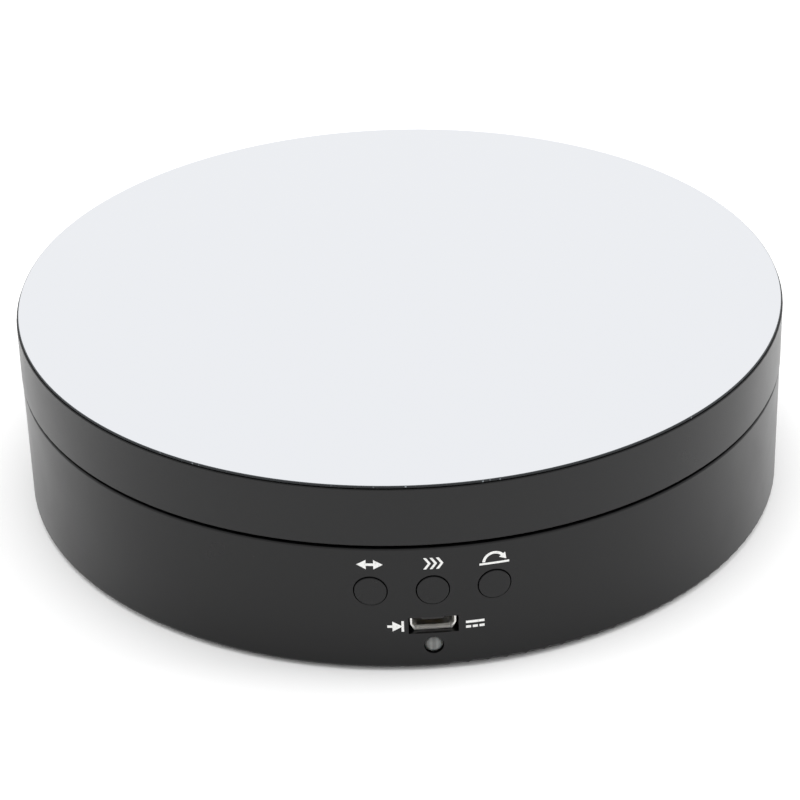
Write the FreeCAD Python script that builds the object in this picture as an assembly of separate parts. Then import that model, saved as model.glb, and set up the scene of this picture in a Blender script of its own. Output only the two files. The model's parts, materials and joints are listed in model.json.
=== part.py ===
"""Motorised turntable display stand: a mirror-topped platter that turns on a round battery-powered base.

Frame: millimetres, +Z up. The origin is on the turning axis, in the plane that the rubber feet stand on.
The three buttons, the charging socket and the charge lamp face -Y.
"""

import FreeCAD
import Part
import math
import os

# ---------------------------------------------------------------- driving sizes
platter_diameter = 146.0
overall_height = 38.0
platter_height = 12.0  # from the skirt's lower edge to the mirror's face
seam_gap = 0.6  # the shadow line between platter and base
base_inset = 0.1  # the base wall stands this far inside the platter's skirt
wall = 2.2
foot_proud = 0.4

# platter
mirror_thickness = 0.5
mirror_inset = 0.3
mirror_bevel = 0.1
adhesive_thickness = 0.1
adhesive_inset = 1.0
web_thickness = 2.2
rib_depth = 2.4
rib_thickness = 1.4
rib_count = 12
hub_pad_radius = 12.0
tray_edge_radius = 0.2
skirt_edge_chamfer = 0.2

# thrust bearing between deck and platter
ball_diameter = 5.0
ball_count = 16
track_radius = 50.0
track_half_width = 4.0
track_groove_depth = 0.6
ball_clearance = 0.06
cage_thickness = 2.0
cage_half_width = 4.4
cage_pocket_clearance = 0.15
cage_guide_wall = 1.6
cage_guide_clearance = 0.5
locating_ring_wall = 1.8
locating_ring_height = 2.6
locating_ring_clearance = 2.2

# base
cover_thickness = 2.0
cover_clearance = 0.2
cover_rib_height = 1.6
cover_rib_wall = 1.4
cover_rib_radii = (30.0, 52.0)
base_edge_radius = 1.0
base_top_edge_radius = 0.4
cover_screw_count = 6
cover_screw_inset = 8.6  # from the wall's inner face to the screws' circle
screw_boss_radius = 3.4
counterbore_depth = 1.1
foot_count = 4
foot_radius = 5.0
foot_recess = 0.9
foot_circle_inset = 14.0
foot_clearance = 0.15

# self-tapping screws: (shank radius, length under head, head radius, head height)
cover_screw = (1.3, 8.0, 2.4, 1.0)
motor_screw = (1.3, 4.4, 3.0, 1.2)
board_screw = (1.0, 6.0, 1.9, 1.0)
hub_screw = (1.0, 4.2, 1.9, 1.0)
screw_hole_clearance = 0.2
screw_end_clearance = 0.5
hub_pilot_clearance = 0.1

# geared stepper motor, a bought-in size
motor_radius = 14.0
motor_height = 19.0
motor_offset = 8.0  # from the can's centre to the output shaft
can_wall = 0.6
motor_plate = 0.8
ear_spacing = 35.0
ear_half_width = 3.5
ear_hole_radius = 2.1
motor_boss_height = 1.0  # under the deck, between deck and ears
motor_pad_height = 1.6  # on top of the deck, gives the motor screws their depth
spigot_radius = 4.5
spigot_height = 1.5
shaft_radius = 2.5
shaft_flat_half = 1.5
shaft_flat_length = 6.0
shaft_reach = 10.0  # from the ears' plane to the shaft's end
running_clearance = 0.05
socket_clearance = 0.05

# gear train inside the motor: z-layers of equal height above the gear plate
gear_plate = 0.6
layer_height = 1.4
layer_gap = 0.2
pressure_angle = math.radians(25.0)
profile_shift = 0.25
tooth_backlash = 0.05
post_radius = 0.6
small_post_radius = 0.5
output_stub_radius = 0.8
first_module = 0.32
second_centre_distance = 6.3
post_b_direction = math.radians(-80.0)
stage_teeth = ((9, 32), (11, 22), (9, 26), (10, 31))

# controls on the front wall, heights above the base's lower edge
button_height = 16.4
button_diameter = 5.6
button_proud = 0.25  # the caps' faces stand this far out of the wall's surface
button_pitch = 10.8
button_gap = 0.2
button_travel = 0.5
button_flange_radius = 4.0
button_flange_thickness = 0.8
button_pad_margin = 1.4  # of the flat pad inside the curved wall, beyond the outer flanges
button_pad_proud = 0.1
socket_height = 9.0
socket_cutout = (8.8, 3.3)
lamp_height = 4.8
lamp_diameter = 3.2
lamp_gap = 0.15
lamp_dome_radius = 2.1  # a low dome, flatter than a half ball
lamp_proud = 0.2
lamp_length = 5.6
lamp_leg_radius = 0.25
lamp_leg_spacing = 2.54
seat_clearance = 0.05

# control board and its parts
board_thickness = 1.6
board_width = 46.0
board_depth = 27.0
board_inset = 6.9  # from the wall's outer face to the board's front edge
board_tab = (11.0, 3.2)
board_hole_inset = 4.0
board_boss_radius = 2.6
socket_shell = (7.5, 6.1, 2.6, 5.4)  # width at the top, width at the bottom, height, depth
socket_wall = 0.3
socket_recess = 1.2
socket_flare = 0.27  # the mouth's lips open out by this much
socket_flare_depth = 0.7
switch_body = (6.0, 3.5)  # side, depth
switch_plunger_radius = 1.7
switch_plunger_reach = 1.5
lead_radius = 0.55
lead_pitch = 1.3
lead_cap_depth = 2.8
lead_cap_lip = 0.8

# battery
cell_size = (50.0, 34.0, 7.0)
cell_edge_radius = 2.0
cell_pad_thickness = 1.0
cell_centre_y = 42.0

# ---------------------------------------------------------------- levels and radii that follow
platter_radius = platter_diameter / 2
base_radius = platter_radius - base_inset
inner_radius = base_radius - wall
base_z = foot_proud
deck_top = overall_height - platter_height - seam_gap
deck_bottom = deck_top - wall
cover_top = base_z + cover_thickness
skirt_z = deck_top + seam_gap
mirror_z = overall_height - mirror_thickness
web_top = mirror_z - adhesive_thickness
web_bottom = web_top - web_thickness
skirt_inner = platter_radius - wall

ball_radius = ball_diameter / 2
ball_z = deck_top + (web_bottom - deck_top) * 0.36
lower_track_z = ball_z - ball_radius + track_groove_depth - ball_clearance
upper_track_z = ball_z + ball_radius - track_groove_depth + ball_clearance

ear_plane = deck_bottom - motor_boss_height
can_bottom = ear_plane - motor_height
can_top = ear_plane - motor_plate
motor_centre = FreeCAD.Vector(0, -motor_offset, 0)
stator_z = can_bottom + can_wall
gear_plate_z = can_top - 4 * (layer_height + layer_gap) - 2 * layer_gap - gear_plate
gear_plate_top = gear_plate_z + gear_plate
stator_height = gear_plate_z - stator_z - layer_gap
shaft_top = ear_plane + shaft_reach
hub_z = ear_plane + spigot_height + 3.4

button_z = base_z + button_height
socket_z = base_z + socket_height
lamp_z = base_z + lamp_height
button_hole_radius = button_diameter / 2 + button_gap
button_xs = (-button_pitch, 0.0, button_pitch)
board_bottom = socket_z + socket_shell[2] / 2
board_top = board_bottom + board_thickness
board_front = -base_radius + board_inset
board_back = board_front + board_depth
pad_half_width = button_pitch + button_flange_radius + button_pad_margin
pad_face = -math.sqrt(inner_radius**2 - pad_half_width**2) + button_pad_proud
flange_front = pad_face + seat_clearance
flange_back = flange_front + button_flange_thickness
switch_face = flange_back + button_travel + switch_plunger_reach
cell_z = deck_bottom - cell_pad_thickness - cell_size[2]

X_AXIS = FreeCAD.Vector(1, 0, 0)
Y_AXIS = FreeCAD.Vector(0, 1, 0)
Z_AXIS = FreeCAD.Vector(0, 0, 1)
ORIGIN = FreeCAD.Vector(0, 0, 0)


# ---------------------------------------------------------------- shape helpers
def disc(radius, z0, z1, x=0.0, y=0.0):
    """Upright cylinder between two heights."""
    return Part.makeCylinder(radius, z1 - z0, FreeCAD.Vector(x, y, z0))


def ring(outer, inner, z0, z1, x=0.0, y=0.0):
    """Upright tube between two heights."""
    return disc(outer, z0, z1, x, y).cut(disc(inner, z0 - 1, z1 + 1, x, y))


def rod_y(radius, y0, y1, x, z):
    """Cylinder along Y between two places."""
    return Part.makeCylinder(radius, y1 - y0, FreeCAD.Vector(x, y0, z), Y_AXIS)


def block(x0, x1, y0, y1, z0, z1):
    """Box between two corners."""
    return Part.makeBox(x1 - x0, y1 - y0, z1 - z0, FreeCAD.Vector(x0, y0, z0))


def outline(points, plane_normal, depth):
    """Closed polygon pushed out along a direction."""
    loop = Part.makePolygon(points + [points[0]])
    return Part.Face(loop).extrude(plane_normal * depth)


def spun(profile):
    """Closed (radius, height) profile turned round the Z axis."""
    corners = [FreeCAD.Vector(r, 0, z) for r, z in profile]
    face = Part.Face(Part.makePolygon(corners + [corners[0]]))
    return face.revolve(ORIGIN, Z_AXIS, 360)


def on_circle(count, radius, start=0.0):
    """Evenly spaced (x, y) places on a circle about the axis, start in degrees."""
    angles = [math.radians(start) + 2 * math.pi * i / count for i in range(count)]
    return [(radius * math.cos(a), radius * math.sin(a)) for a in angles]


def joined(shapes):
    """One solid from several that touch or overlap."""
    shapes = list(shapes)
    return shapes[0].multiFuse(shapes[1:]).removeSplitter()


def less(shape, tools):
    """A solid with several others cut from it."""
    return shape.cut(list(tools))


def round_edges(shape, radius, wanted):
    """Fillet the edges that a test picks."""
    return shape.makeFillet(radius, [e for e in shape.Edges if wanted(e)])


def chamfer_edges(shape, size, wanted):
    """Chamfer the edges that a test picks."""
    return shape.makeChamfer(size, [e for e in shape.Edges if wanted(e)])


def circle_at(radius, z):
    """Test for a full circular edge of this radius at this height."""

    def test(edge):
        curve = edge.Curve
        is_circle = isinstance(curve, Part.Circle)
        return is_circle and abs(curve.Radius - radius) < 1e-4 and abs(curve.Center.z - z) < 1e-4

    return test


def upright(edge):
    """Test for a straight edge along Z."""
    start, end = edge.firstVertex().Point, edge.lastVertex().Point
    return abs(start.x - end.x) < 1e-6 and abs(start.y - end.y) < 1e-6 and abs(start.z - end.z) > 1e-3


def screw(size, x, y, seat_z, direction):
    """Pan-head screw with a cross recess, its head on seat_z. Its shank runs along direction (+1 or -1)."""
    shank, length, head, head_height = size
    tip = length - shank
    body = joined([
        Part.makeCylinder(shank, tip),
        Part.makeCone(shank, shank * 0.4, shank, FreeCAD.Vector(0, 0, tip)),
        Part.makeCylinder(head, head_height, FreeCAD.Vector(0, 0, -head_height)),
    ])
    body = round_edges(body, head_height * 0.45, circle_at(head, -head_height))
    slot_long, slot_half = head * 0.62, head * 0.11
    recess = head_height * 0.55
    cross = [
        block(-slot_long, slot_long, -slot_half, slot_half, -head_height, -head_height + recess),
        block(-slot_half, slot_half, -slot_long, slot_long, -head_height, -head_height + recess),
    ]
    body = less(body, cross)
    if direction < 0:
        body.rotate(ORIGIN, X_AXIS, 180)
    body.translate(FreeCAD.Vector(x, y, seat_z))
    return body


def swept(points, radius):
    """Round wire along straight runs joined by the largest tangent arcs that the runs allow."""
    edges, radii = [], []
    here = points[0]
    for i in range(1, len(points) - 1):
        before, corner, after = points[i - 1], points[i], points[i + 1]
        back, on = (before - corner), (after - corner)
        shorter = min(back.Length, on.Length)
        back.normalize()
        on.normalize()
        half_turn = (math.pi - back.getAngle(on)) / 2
        reach = 0.45 * shorter
        bend = reach / math.tan(half_turn)
        radii.append(bend)
        first, last = corner + back * reach, corner + on * reach
        middle_direction = back + on
        middle_direction.normalize()
        middle = corner + middle_direction * (bend / math.cos(half_turn) - bend)
        edges.append(Part.LineSegment(here, first).toShape())
        edges.append(Part.Arc(first, middle, last).toShape())
        here = last
    edges.append(Part.LineSegment(here, points[-1]).toShape())
    path = Part.Wire(edges)
    start_direction = points[1] - points[0]
    section = Part.Wire([Part.makeCircle(radius, points[0], start_direction)])
    solid = path.makePipeShell([section], True, False)
    expected = math.pi * radius**2 * path.Length
    print("lead", round(path.Length, 1), "mm, tightest bend", round(min(radii), 1), "volume ratio",
          round(solid.Volume / expected, 4))
    return solid


def save(name, shape):
    """Write one node's solid, or its group of solids, as STEP."""
    solids = shape if isinstance(shape, list) else [shape]
    for solid in solids:
        if not solid.isValid() or solid.Volume <= 0:
            raise ValueError(name + " is not a valid solid")
    whole = solids[0] if len(solids) == 1 else Part.makeCompound(solids)
    whole.exportStep("parts/" + name + ".step")


# ---------------------------------------------------------------- gears
def involute_point(base, radius, start_angle, side):
    """Point of an involute at a radius. side is +1 or -1. It leaves the base circle at start_angle."""
    roll = math.sqrt(max((radius / base) ** 2 - 1, 0.0))
    angle = start_angle + side * (roll - math.atan(roll))
    return FreeCAD.Vector(radius * math.cos(angle), radius * math.sin(angle), 0)


def toothed_wheel(teeth, module, shift, phase, centre, z0, z1):
    """Involute spur gear between two heights, with a tooth centred on the phase angle."""
    pitch = module * teeth / 2
    base = pitch * math.cos(pressure_angle)
    tip = pitch + module * (1 + shift) - 0.05 * module
    root = pitch - module * (1.25 - shift)
    flank_start = max(base, root)
    tooth_angle = (math.pi / 2 + 2 * shift * math.tan(pressure_angle)) / teeth * 2 - tooth_backlash / pitch
    half_at_pitch = tooth_angle / 2
    roll_at_pitch = math.tan(pressure_angle) - pressure_angle
    edges = []
    for i in range(teeth):
        middle = phase + 2 * math.pi * i / teeth
        low = middle - half_at_pitch - roll_at_pitch
        high = middle + half_at_pitch + roll_at_pitch
        rising = [involute_point(base, r, low, 1) for r in (flank_start, (flank_start + tip) / 2, tip)]
        falling = [involute_point(base, r, high, -1) for r in (tip, (flank_start + tip) / 2, flank_start)]
        root_in = FreeCAD.Vector(root * math.cos(low), root * math.sin(low), 0)
        root_out = FreeCAD.Vector(root * math.cos(high), root * math.sin(high), 0)
        if base > root:
            edges.append(Part.LineSegment(root_in, rising[0]).toShape())
        edges.append(Part.Arc(*rising).toShape())
        tip_middle = FreeCAD.Vector(tip * math.cos(middle), tip * math.sin(middle), 0)
        edges.append(Part.Arc(rising[2], tip_middle, falling[0]).toShape())
        edges.append(Part.Arc(*falling).toShape())
        if base > root:
            edges.append(Part.LineSegment(falling[2], root_out).toShape())
        last = root_out if base > root else falling[2]
        next_low = low + 2 * math.pi / teeth
        if base > root:
            next_start = FreeCAD.Vector(root * math.cos(next_low), root * math.sin(next_low), 0)
        else:
            next_start = involute_point(base, flank_start, next_low, 1)
        gap_middle_angle = middle + math.pi / teeth
        gap_middle = FreeCAD.Vector(root * math.cos(gap_middle_angle), root * math.sin(gap_middle_angle), 0)
        edges.append(Part.Arc(last, gap_middle, next_start).toShape())
    face = Part.Face(Part.Wire(edges))
    wheel = face.extrude(FreeCAD.Vector(0, 0, z1 - z0))
    wheel.translate(FreeCAD.Vector(centre.x, centre.y, z0))
    return wheel


def meshed_phase(teeth, phase, centre, other_teeth, other_centre):
    """Phase of the other wheel that puts its gap where this wheel's tooth is, on the line of centres."""
    line = other_centre - centre
    direction = math.atan2(line.y, line.x)
    tooth_position = (direction - phase) * teeth / (2 * math.pi)
    other_pitch = 2 * math.pi / other_teeth
    return direction + math.pi - other_pitch * (0.5 - tooth_position)


def gear_layout():
    """Axes, modules and phases of the four reduction stages from rotor pinion to output wheel."""
    rotor = FreeCAD.Vector(motor_centre)
    output = FreeCAD.Vector(ORIGIN)
    first_distance = first_module * sum(stage_teeth[0]) / 2
    fourth_module = first_distance * 2 / sum(stage_teeth[3])
    aside = math.sqrt(first_distance**2 - (motor_offset / 2) ** 2)
    post_a = FreeCAD.Vector(aside, -motor_offset / 2, 0)
    post_b = FreeCAD.Vector(post_a.x + second_centre_distance * math.cos(post_b_direction),
                            post_a.y + second_centre_distance * math.sin(post_b_direction), 0)
    modules = [
        first_module,
        2 * second_centre_distance / sum(stage_teeth[1]),
        2 * second_centre_distance / sum(stage_teeth[2]),
        fourth_module,
    ]
    axes = [(rotor, post_a), (post_a, post_b), (post_b, post_a), (post_a, output)]
    stages = []
    for (small, large), module, (start, end) in zip(stage_teeth, modules, axes):
        phase = meshed_phase(small, 0.0, start, large, end)
        stages.append({"small": small, "large": large, "module": module, "start": start, "end": end,
                       "phase": phase})
    return stages, post_a, post_b, rotor


def layer(number):
    """Lower and upper height of a gear layer, counted from 1 above the gear plate."""
    low = gear_plate_top + layer_gap + (number - 1) * (layer_height + layer_gap)
    return low, low + layer_height


def compound_gear(wheel_stage, pinion_stage, wheel_layer, bore):
    """Wheel of one stage and pinion of the next on one post."""
    centre = wheel_stage["end"]
    z0, z1 = layer(wheel_layer)
    z2 = layer(wheel_layer + 1)[1]
    wheel = toothed_wheel(wheel_stage["large"], wheel_stage["module"], -profile_shift, wheel_stage["phase"],
                          centre, z0, z1)
    pinion = toothed_wheel(pinion_stage["small"], pinion_stage["module"], profile_shift, 0.0,
                           centre, z1 - 0.1, z2)
    return less(joined([wheel, pinion]), [disc(bore, z0 - 1, z2 + 1, centre.x, centre.y)])


# ---------------------------------------------------------------- platter
def platter_tray():
    """Round tray: skirt, web, radial ribs, the upper ball track and the screw posts for the drive hub."""
    shell = spun([
        (0, web_bottom), (skirt_inner, web_bottom), (skirt_inner, skirt_z), (platter_radius, skirt_z),
        (platter_radius, web_top), (0, web_top),
    ])
    shell = round_edges(shell, tray_edge_radius, circle_at(platter_radius, web_top))
    shell = chamfer_edges(shell, skirt_edge_chamfer, circle_at(platter_radius, skirt_z))
    track = ring(track_radius + track_half_width, track_radius - track_half_width,
                 upper_track_z, web_bottom + 0.2)
    parts = [shell, track]
    for x, y in on_circle(rib_count, 1.0, 15.0):
        angle = math.degrees(math.atan2(y, x))
        rib = block(hub_pad_radius, skirt_inner + 0.2, -rib_thickness / 2, rib_thickness / 2,
                    web_bottom - rib_depth, web_bottom + 0.2)
        rib.rotate(ORIGIN, Z_AXIS, angle)
        parts.append(rib)
    parts.append(ring(hub_pad_radius + rib_thickness, hub_pad_radius,
                      web_bottom - rib_depth, web_bottom + 0.2))
    tray = joined(parts)
    groove = Part.makeTorus(track_radius, ball_radius + ball_clearance, FreeCAD.Vector(0, 0, ball_z))
    pilots = [disc(hub_screw[0], web_bottom - 1, hub_screw_tip() + hub_pilot_clearance, x, y)
              for x, y in hub_screw_places()]
    return less(tray, [groove] + pilots)


def hub_screw_places():
    return on_circle(3, hub_pad_radius - 3.2, 90.0)


def hub_flange_z():
    """Underside of the drive hub's flange."""
    return web_bottom - 2.6


def hub_screw_tip():
    return hub_flange_z() + hub_screw[1]


def mirror_disc():
    """Flat mirror plate with a fine ground bevel."""
    plate = disc(platter_radius - mirror_inset, mirror_z, overall_height)
    return chamfer_edges(plate, mirror_bevel, circle_at(platter_radius - mirror_inset, overall_height))


def mirror_adhesive():
    """Double-sided sheet between tray and mirror."""
    return disc(platter_radius - adhesive_inset, web_top, mirror_z)


def double_flat(radius, half_flat, z0, z1):
    """Round bar with two flats."""
    return disc(radius, z0, z1).common(block(-half_flat, half_flat, -radius, radius, z0, z1))


def drive_hub():
    """Moulded hub that the motor shaft's flats turn, screwed under the tray."""
    body = joined([
        disc(hub_pad_radius - 0.4, hub_flange_z(), web_bottom),
        disc(shaft_radius + 3.2, hub_z, hub_flange_z() + 0.5),
    ])
    socket = double_flat(shaft_radius + socket_clearance, shaft_flat_half + socket_clearance, hub_z - 1,
                         shaft_top + socket_clearance)
    round_part_end = shaft_top - shaft_flat_length
    relief = disc(shaft_radius + socket_clearance, hub_z - 1, round_part_end + socket_clearance)
    holes = [disc(hub_screw[0] + screw_hole_clearance, hub_flange_z() - 1, web_bottom + 1, x, y)
             for x, y in hub_screw_places()]
    return less(body, [socket, relief] + holes)


def hub_screws():
    return [screw(hub_screw, x, y, hub_flange_z(), 1) for x, y in hub_screw_places()]


# ---------------------------------------------------------------- thrust bearing
def bearing_balls():
    return [Part.makeSphere(ball_radius, FreeCAD.Vector(x, y, ball_z))
            for x, y in on_circle(ball_count, track_radius)]


def bearing_cage():
    """Flat retainer with a pocket for each ball and lightening slots between them."""
    z0 = ball_z - cage_thickness / 2
    cage = ring(track_radius + cage_half_width, track_radius - cage_half_width, z0, z0 + cage_thickness)
    pocket = ball_radius + cage_pocket_clearance
    pockets = [disc(pocket, z0 - 1, z0 + cage_thickness + 1, x, y)
               for x, y in on_circle(ball_count, track_radius)]
    half_step = 180.0 / ball_count
    slots = [disc(pocket * 0.6, z0 - 1, z0 + cage_thickness + 1, x, y)
             for x, y in on_circle(ball_count, track_radius, half_step)]
    return less(cage, pockets + slots)


# ---------------------------------------------------------------- base
def cover_screw_places():
    return on_circle(cover_screw_count, inner_radius - cover_screw_inset, 0.0)


def board_screw_places():
    half = board_width / 2 - board_hole_inset
    rows = (board_front + board_hole_inset, board_back - board_hole_inset)
    return [(sx * half, y) for sx in (-1, 1) for y in rows]


def motor_screw_places():
    return [(sx * ear_spacing / 2, -motor_offset) for sx in (-1, 1)]


def control_openings():
    """Tools that cut the button holes, the socket's slot and the lamp's hole through the front wall."""
    front, back = -base_radius - 1, pad_face + 1
    tools = [rod_y(button_hole_radius, front, back, x, button_z) for x in button_xs]
    width, height = socket_cutout
    slot = block(-width / 2, width / 2, front, back, socket_z - height / 2, socket_z + height / 2)
    tools.append(slot)
    tools.append(rod_y(lamp_diameter / 2 + lamp_gap, front, back, 0.0, lamp_z))
    return tools


def base_housing():
    """Upturned tub: outer wall, deck with the lower ball track, and bosses for all the screws."""
    deck_hole = spigot_radius + running_clearance * 2
    shell = spun([
        (deck_hole, deck_bottom), (inner_radius, deck_bottom), (inner_radius, base_z),
        (base_radius, base_z), (base_radius, deck_top), (deck_hole, deck_top),
    ])
    shell = round_edges(shell, base_edge_radius, circle_at(base_radius, base_z))
    shell = round_edges(shell, base_top_edge_radius, circle_at(base_radius, deck_top))
    ring_outer = skirt_inner - locating_ring_clearance
    guide_outer = track_radius - cage_half_width - cage_guide_clearance
    parts = [
        shell,
        ring(track_radius + track_half_width, track_radius - track_half_width,
             deck_top - 0.2, lower_track_z),
        ring(guide_outer, guide_outer - cage_guide_wall, deck_top - 0.2, ball_z),
        ring(ring_outer, ring_outer - locating_ring_wall, deck_top - 0.2, deck_top + locating_ring_height),
    ]
    for x, y in cover_screw_places():
        parts.append(disc(screw_boss_radius, cover_top, deck_bottom + 0.2, x, y))
    for x, y in board_screw_places():
        parts.append(disc(board_boss_radius, board_top, deck_bottom + 0.2, x, y))
    for x, y in motor_screw_places():
        parts.append(disc(ear_half_width, ear_plane, deck_bottom + 0.2, x, y))
        parts.append(disc(ear_half_width, deck_top - 0.2, deck_top + motor_pad_height, x, y))
    pad = block(-pad_half_width, pad_half_width, -base_radius, pad_face, button_z - button_flange_radius,
                button_z + button_flange_radius)
    parts.append(pad.common(disc(inner_radius + wall / 2, base_z, deck_top)))
    housing = joined(parts)
    tools = control_openings()
    tools.append(Part.makeTorus(track_radius, ball_radius + ball_clearance, FreeCAD.Vector(0, 0, ball_z)))
    for x, y in cover_screw_places():
        tools.append(disc(cover_screw[0], cover_top - 1,
                          cover_seat() + cover_screw[1] + screw_end_clearance, x, y))
    for x, y in board_screw_places():
        tools.append(disc(board_screw[0], board_top - 1,
                          board_bottom + board_screw[1] + screw_end_clearance, x, y))
    for x, y in motor_screw_places():
        tools.append(disc(motor_screw[0], ear_plane - 1,
                          can_top + motor_screw[1] + screw_end_clearance, x, y))
    return less(housing, tools)


def cover_seat():
    """Height at which the cover screws' heads bear."""
    return base_z + counterbore_depth


def foot_places():
    return on_circle(foot_count, inner_radius - foot_circle_inset, 45.0)


def bottom_cover():
    """Round floor plate with stiffening rings, foot recesses and counterbored screw holes."""
    plate = disc(inner_radius - cover_clearance, base_z, cover_top)
    rib_top = cover_top + cover_rib_height
    rings = [ring(r + cover_rib_wall / 2, r - cover_rib_wall / 2, cover_top - 0.2, rib_top)
             for r in cover_rib_radii if r > motor_radius + motor_offset]
    boss_floor = [disc(board_boss_radius * 1.6, cover_top - 0.2, rib_top, 0.0, board_front + board_depth / 2)]
    cover = joined([plate] + rings + boss_floor)
    tools = []
    for x, y in cover_screw_places():
        tools.append(disc(cover_screw[0] + screw_hole_clearance, base_z - 1, rib_top + 1, x, y))
        tools.append(disc(cover_screw[2] + screw_hole_clearance, base_z - 1, cover_seat(), x, y))
    for x, y in foot_places():
        tools.append(disc(foot_radius + foot_clearance, base_z - 1, base_z + foot_recess, x, y))
    return less(cover, tools)


def rubber_foot(x, y):
    """Stick-on foot with a soft lower edge."""
    pad = disc(foot_radius, 0.0, base_z + foot_recess, x, y)
    return round_edges(pad, foot_proud * 0.7, circle_at(foot_radius, 0.0))


def cover_screws():
    return [screw(cover_screw, x, y, cover_seat(), 1) for x, y in cover_screw_places()]


# ---------------------------------------------------------------- motor
def motor_case():
    """Drawn steel can, open at the top, with a mouth for the coil leads."""
    can = disc(motor_radius, can_bottom, can_top, 0.0, -motor_offset)
    hollow = disc(motor_radius - can_wall, can_bottom + can_wall, can_top + 1, 0.0, -motor_offset)
    mouth = block(-lead_mouth_half(), lead_mouth_half(), -motor_offset - motor_radius - 1,
                  -motor_offset - motor_radius / 2, stator_z + 1.0, stator_z + stator_height - 1.0)
    return less(can, [hollow, mouth])


def lead_mouth_half():
    return 2.5 * lead_pitch + 1.0


def motor_cover():
    """Gearbox lid with the two mounting ears and the shaft's spigot bearing."""
    plate = [disc(motor_radius, can_top, ear_plane, 0.0, -motor_offset),
             block(-ear_spacing / 2, ear_spacing / 2, -motor_offset - ear_half_width,
                   -motor_offset + ear_half_width, can_top, ear_plane)]
    plate += [disc(ear_half_width, can_top, ear_plane, x, y) for x, y in motor_screw_places()]
    plate.append(disc(spigot_radius, can_top, ear_plane + spigot_height))
    tools = [disc(ear_hole_radius, can_top - 1, ear_plane + 1, x, y) for x, y in motor_screw_places()]
    tools.append(disc(shaft_radius + running_clearance, can_top - 1, ear_plane + spigot_height + 1))
    return less(joined(plate), tools)


def motor_screws():
    return [screw(motor_screw, x, y, can_top, 1) for x, y in motor_screw_places()]


def motor_gear_plate(post_a, post_b):
    """Plate over the coils that carries the gear posts."""
    plate = disc(motor_radius - can_wall - running_clearance, gear_plate_z, gear_plate_top,
                 0.0, -motor_offset)
    tools = [
        disc(first_module * 7.5, gear_plate_z - 1, gear_plate_top + 1, 0.0, -motor_offset),
        disc(output_stub_radius + running_clearance, gear_plate_z - 1, gear_plate_top + 1),
        disc(post_radius, gear_plate_z - 1, gear_plate_top + 1, post_a.x, post_a.y),
        disc(small_post_radius, gear_plate_z - 1, gear_plate_top + 1, post_b.x, post_b.y),
    ]
    return less(plate, tools)


def gear_posts(post_a, post_b):
    """Steel pins pressed into the gear plate."""
    return [disc(post_radius, gear_plate_z, can_top, post_a.x, post_a.y),
            disc(small_post_radius, gear_plate_z, can_top, post_b.x, post_b.y)]


def rotor_outer():
    return motor_radius * 0.37


def motor_stator():
    """Claw-pole rings: an upper and a lower frame round the rotor."""
    outer, inner = motor_radius - can_wall - 0.1, rotor_outer() + 0.35
    middle = stator_z + stator_height / 2
    frames = []
    for z0, z1 in ((stator_z, middle - 0.1), (middle + 0.1, stator_z + stator_height)):
        frame = ring(outer, inner, z0, z1, 0.0, -motor_offset)
        winding_room = ring(outer + 1, inner + 0.8, z0 + 0.8, z1 - 0.8, 0.0, -motor_offset)
        frames.append(less(frame, [winding_room]))
    return frames


def motor_coils():
    """Two wound coils that fill the stator frames."""
    outer, inner = motor_radius - can_wall - 1.2, rotor_outer() + 0.35 + 0.8
    middle = stator_z + stator_height / 2
    spans = ((stator_z + 0.8, middle - 0.9), (middle + 0.9, stator_z + stator_height - 0.8))
    return [ring(outer, inner, z0, z1, 0.0, -motor_offset) for z0, z1 in spans]


def rotor_pin():
    """Fixed pin that the rotor turns on."""
    return disc(small_post_radius, stator_z, layer(1)[1] + layer_gap / 2, 0.0, -motor_offset)


def motor_rotor(first_stage):
    """Magnet rotor with its moulded pinion."""
    top = gear_plate_z - 0.4
    z0 = stator_z + 0.5
    magnet = disc(rotor_outer(), z0, top, 0.0, -motor_offset)
    pinion = toothed_wheel(first_stage["small"], first_stage["module"], profile_shift, 0.0,
                           first_stage["start"], top - 0.2, layer(1)[1])
    bore = disc(small_post_radius + running_clearance, z0 - 1, layer(1)[1] + 1, 0.0, -motor_offset)
    return less(joined([magnet, pinion]), [bore])


def output_gear(last_stage):
    """Output wheel, its lower stub and the shaft with two drive flats."""
    z0, z1 = layer(4)
    wheel = toothed_wheel(last_stage["large"], last_stage["module"], -profile_shift, last_stage["phase"],
                          ORIGIN, z0, z1)
    flat_z = shaft_top - shaft_flat_length
    return joined([
        wheel,
        disc(output_stub_radius, gear_plate_z, z0 + 0.2),
        disc(shaft_radius, z1 - 0.2, flat_z),
        double_flat(shaft_radius, shaft_flat_half, flat_z - 0.2, shaft_top),
    ])


def lead_cap_front():
    return -motor_offset - motor_radius - lead_cap_depth


def lead_cap():
    """Moulded cap on the can's front, with a tongue that fills the mouth over the coil terminals."""
    half = lead_mouth_half()
    front, back = lead_cap_front(), -motor_offset - motor_radius / 2
    z0, z1 = stator_z + 1.0, stator_z + stator_height - 1.0
    hood = block(-half - lead_cap_lip, half + lead_cap_lip, front, back, z0 - lead_cap_lip, z1 + lead_cap_lip)
    hood = round_edges(hood, 0.6, lambda e: upright(e) and e.CenterOfMass.y < front + 0.1)
    hood = less(hood, [disc(motor_radius, z0 - 2, z1 + 2, 0.0, -motor_offset)])
    tongue = block(-half, half, front + 0.5, back, z0, z1)
    tongue = less(tongue, [disc(motor_radius - can_wall, z0 - 2, z1 + 2, 0.0, -motor_offset)])
    return joined([hood, tongue])


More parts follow.
